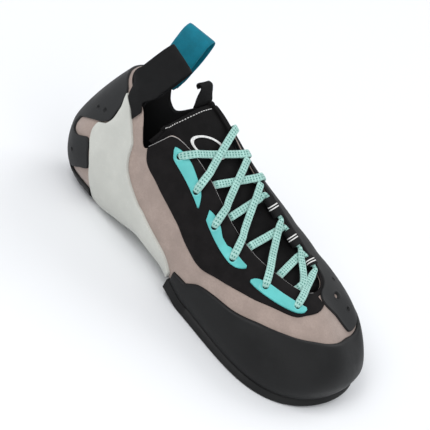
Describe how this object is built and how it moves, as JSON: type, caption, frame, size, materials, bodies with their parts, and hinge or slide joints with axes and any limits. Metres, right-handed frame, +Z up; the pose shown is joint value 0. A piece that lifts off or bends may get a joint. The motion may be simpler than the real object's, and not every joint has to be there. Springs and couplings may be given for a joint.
{
  "type": "climbing shoe",
  "caption": "Right lace-up climbing shoe, standing empty: suede upper, rubber soles, rands and patches, closure flap, tongue, lace and heel pull loops.",
  "frame": {"origin": "middle of the bounding box, on the floor that the sole stands on", "axes": "+X from heel to toe, -Y to the outer (lateral) side, +Z up"},
  "size_m": [0.2376, 0.095, 0.1287],
  "materials": {
    "suede": "napped suede, matt",
    "black_rubber": "smooth rubber, satin",
    "grey_rubber": "printed rubber, matt",
    "pale_rubber": "smooth rubber, satin",
    "microfibre": "fine knit, matt",
    "plate": "moulded, satin",
    "lining": "plain cloth, matt",
    "black_webbing": "woven, matt",
    "teal_webbing": "woven, matt",
    "lace": "woven flat, matt"
  },
  "bodies": {
    "root": {"upper": "suede", "outsole": "black_rubber", "heel_sole": "black_rubber", "toe_rand": "black_rubber", "toe_patch": "grey_rubber", "heel_patch": "grey_rubber", "heel_rand": "pale_rubber", "closure_flap": "microfibre", "eyelet_plate_1": "plate", "eyelet_plate_2": "plate", "eyelet_plate_3": "plate", "tongue": "microfibre", "tongue_pull": "black_webbing", "insole": "lining", "pull_loop_outer": "black_webbing", "pull_loop_inner": "teal_webbing", "lace_loop_1": "black_webbing", "lace_loop_2": "black_webbing", "lace_loop_3": "black_webbing", "lace": "lace"}
  },
  "joints": []
}
